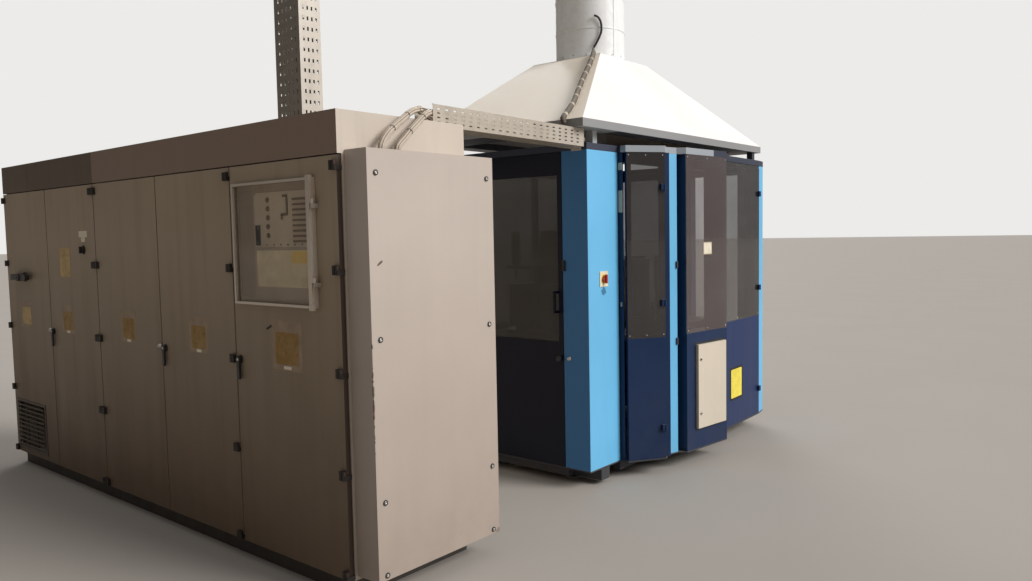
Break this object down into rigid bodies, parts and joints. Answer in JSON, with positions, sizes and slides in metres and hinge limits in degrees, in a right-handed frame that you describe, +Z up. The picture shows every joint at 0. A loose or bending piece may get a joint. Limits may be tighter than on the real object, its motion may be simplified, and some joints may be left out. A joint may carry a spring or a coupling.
{
  "type": "blow moulding machine",
  "caption": "Rotary stretch blow moulding machine: guarded enclosure under an extraction hood, joined by a cable tray to its five-door control cabinet.",
  "frame": {"origin": "middle of the footprint, on the floor", "axes": "+X along the cabinet's doors to its beige end, +Y from the cabinet's doors towards the guarded machine, +Z up"},
  "size_m": [4.3784, 4.787, 3.893],
  "materials": {
    "plinth_black": "worn",
    "cabinet_paint": "worn",
    "fascia_dark": "worn",
    "fascia_paint": "worn",
    "cover_paint": "worn",
    "lock_black": "worn",
    "hinge_black": "worn",
    "lever_black": "plain",
    "window_aluminium": "plain",
    "window_glazing": "plain",
    "panel_grey": "plain",
    "grille_grey": "worn",
    "plate_white": "worn",
    "gear_grey": "plain",
    "drive_grey": "plain",
    "galvanised": "plain",
    "cable_beige": "plain",
    "base_dark": "worn",
    "steel": "plain",
    "dark_blue": "worn",
    "light_blue": "worn",
    "switch_yellow": "plain",
    "switch_red": "plain",
    "smoked_glazing": "plain",
    "mid_blue": "worn",
    "elec_white": "worn",
    "roof_grey": "worn",
    "frame_black": "worn",
    "hood_white": "worn",
    "duct_zinc": "plain",
    "conduit_grey": "plain",
    "cable_black": "plain",
    "machine_steel": "plain",
    "oven_sheet": "plain",
    "star_aluminium": "plain",
    "mould_aluminium": "plain"
  },
  "bodies": {
    "frame": {"cabinet_plinth": "plinth_black", "cabinet_carcass": "cabinet_paint", "roof_cap_left": "fascia_dark", "roof_cap_right": "fascia_paint", "end_cover": "cover_paint", "end_cover_locks": "lock_black", "hinge_posts": "hinge_black", "mounting_plates": "plate_white", "switchgear": "gear_grey", "drive_modules": "drive_grey", "cable_tray": "galvanised", "tray_brackets": "galvanised", "riser_tray": "galvanised", "cable_bundles": "cable_beige", "machine_base": "base_dark", "levelling_feet": "steel", "guard_frame": "dark_blue", "corner_pillar": "light_blue", "switch_plate": "switch_yellow", "service_box": "dark_blue", "trim_strips": "light_blue", "wall_panels": "dark_blue", "wall_panes": "smoked_glazing", "roof_plate": "roof_grey", "hood_frame": "frame_black", "hood_shell": "hood_white", "hood_duct": "duct_zinc", "hood_conduit": "conduit_grey", "duct_cable": "cable_black", "oven_modules": "oven_sheet"},
    "door_1": {"door_1": "cabinet_paint", "vent_grille": "grille_grey"},
    "door_2": {"door_2": "cabinet_paint"},
    "door_3": {"door_3": "cabinet_paint"},
    "door_4": {"door_4": "cabinet_paint"},
    "door_5": {"door_5": "cabinet_paint", "operator_panel": "panel_grey"},
    "latch_2": {"latch_2": "lever_black"},
    "latch_4": {"latch_4": "lever_black"},
    "latch_5": {"latch_5": "lever_black"},
    "isolator": {"isolator_lever": "lever_black"},
    "selector": {"selector_knob": "lever_black"},
    "window": {"window_frame": "window_aluminium", "window_pane": "window_glazing"},
    "front_guard": {"front_door": "dark_blue", "front_door_pane": "smoked_glazing"},
    "angled_guard": {"angled_door": "dark_blue", "angled_door_pane": "smoked_glazing"},
    "side_guard": {"side_door": "mid_blue", "side_door_pane": "smoked_glazing"},
    "electrical_door": {"electrical_door": "elec_white"},
    "pillar_switch": {"pillar_switch": "switch_red"},
    "heating_wheel": {"heating_wheel": "machine_steel"},
    "transfer_star": {"transfer_star": "star_aluminium"},
    "blow_wheel": {"blow_wheel": "machine_steel"},
    "mould_1": {"mould_1": "mould_aluminium"},
    "mould_2": {"mould_2": "mould_aluminium"},
    "mould_3": {"mould_3": "mould_aluminium"},
    "mould_4": {"mould_4": "mould_aluminium"}
  },
  "joints": [
    {"name": "door_1_swing", "type": "hinge", "parent": "frame", "child": "door_1", "pos_m": [-2.17716, -2.3425, 1.05], "axis": [0, 0, -1], "range_deg": [0, 105]},
    {"name": "door_2_swing", "type": "hinge", "parent": "frame", "child": "door_2", "pos_m": [-0.63116, -2.3425, 1.05], "axis": [0, 0, 1], "range_deg": [0, 90]},
    {"name": "door_3_swing", "type": "hinge", "parent": "frame", "child": "door_3", "pos_m": [-0.60716, -2.3425, 1.05], "axis": [0, 0, -1], "range_deg": [0, 90]},
    {"name": "door_4_swing", "type": "hinge", "parent": "frame", "child": "door_4", "pos_m": [0.99884, -2.3425, 1.05], "axis": [0, 0, 1], "range_deg": [0, 90]},
    {"name": "door_5_swing", "type": "hinge", "parent": "frame", "child": "door_5", "pos_m": [1.89884, -2.3425, 1.05], "axis": [0, 0, 1], "range_deg": [0, 105]},
    {"name": "latch_2_turn", "type": "hinge", "parent": "door_2", "child": "latch_2", "pos_m": [-1.35716, -2.3435, 1.09], "axis": [0, -1, 0], "range_deg": [0, 90]},
    {"name": "latch_4_turn", "type": "hinge", "parent": "door_4", "child": "latch_4", "pos_m": [0.25284, -2.3435, 1.09], "axis": [0, -1, 0], "range_deg": [0, 90]},
    {"name": "latch_5_turn", "type": "hinge", "parent": "door_5", "child": "latch_5", "pos_m": [1.05284, -2.3435, 1.09], "axis": [0, -1, 0], "range_deg": [0, 90]},
    {"name": "isolator_turn", "type": "hinge", "parent": "door_1", "child": "isolator", "pos_m": [-1.82916, -2.3615, 1.47], "axis": [0, 1, 0], "range_deg": [0, 90]},
    {"name": "selector_turn", "type": "hinge", "parent": "door_2", "child": "selector", "pos_m": [-0.79916, -2.3435, 1.67], "axis": [0, 1, 0], "range_deg": [-45, 45]},
    {"name": "window_swing", "type": "hinge", "parent": "door_5", "child": "window", "pos_m": [1.75284, -2.3605, 1.687], "axis": [0, 0, 1], "range_deg": [0, 110]},
    {"name": "front_guard_swing", "type": "hinge", "parent": "frame", "child": "front_guard", "pos_m": [0.74684, -0.2625, 1.2], "axis": [0, 0, -1], "range_deg": [0, 100]},
    {"name": "angled_guard_swing", "type": "hinge", "parent": "frame", "child": "angled_guard", "pos_m": [2.07633, 0.34463, 1.2], "axis": [0, 0, 1], "range_deg": [0, 90]},
    {"name": "side_guard_swing", "type": "hinge", "parent": "frame", "child": "side_guard", "pos_m": [2.01348, 2.09501, 1.2], "axis": [0, 0, 1], "range_deg": [0, 100]},
    {"name": "electrical_door_swing", "type": "hinge", "parent": "frame", "child": "electrical_door", "pos_m": [2.179, 1.07445, 0.57], "axis": [0, 0, 1], "range_deg": [0, 110]},
    {"name": "pillar_switch_turn", "type": "hinge", "parent": "frame", "child": "pillar_switch", "pos_m": [1.85084, -0.07216, 1.407], "axis": [1, 0, 0], "range_deg": [0, 90]},
    {"name": "blow_wheel_spin", "type": "hinge", "parent": "frame", "child": "blow_wheel", "pos_m": [1.06784, 0.3285, 1.14], "axis": [0, 0, 1], "continuous": true},
    {"name": "transfer_star_spin", "type": "hinge", "parent": "frame", "child": "transfer_star", "pos_m": [1.06784, 0.8905, 1.14], "axis": [0, 0, 1], "continuous": true},
    {"name": "heating_wheel_spin", "type": "hinge", "parent": "frame", "child": "heating_wheel", "pos_m": [1.06784, 1.4225, 1.04], "axis": [0, 0, 1], "continuous": true},
    {"name": "mould_1_open", "type": "hinge", "parent": "blow_wheel", "child": "mould_1", "pos_m": [1.18805, 0.56185, 1.12], "axis": [0, 0, 1], "range_deg": [0, 50]},
    {"name": "mould_2_open", "type": "hinge", "parent": "blow_wheel", "child": "mould_2", "pos_m": [0.83449, 0.44871, 1.12], "axis": [0, 0, 1], "range_deg": [0, 50]},
    {"name": "mould_3_open", "type": "hinge", "parent": "blow_wheel", "child": "mould_3", "pos_m": [0.94763, 0.09516, 1.12], "axis": [0, 0, 1], "range_deg": [0, 50]},
    {"name": "mould_4_open", "type": "hinge", "parent": "blow_wheel", "child": "mould_4", "pos_m": [1.30119, 0.20829, 1.12], "axis": [0, 0, 1], "range_deg": [0, 50]}
  ],
  "couplings": [
    {"joint": "transfer_star_spin", "follows": "blow_wheel_spin", "ratio": -0.66667},
    {"joint": "heating_wheel_spin", "follows": "blow_wheel_spin", "ratio": 0.22222}
  ]
}
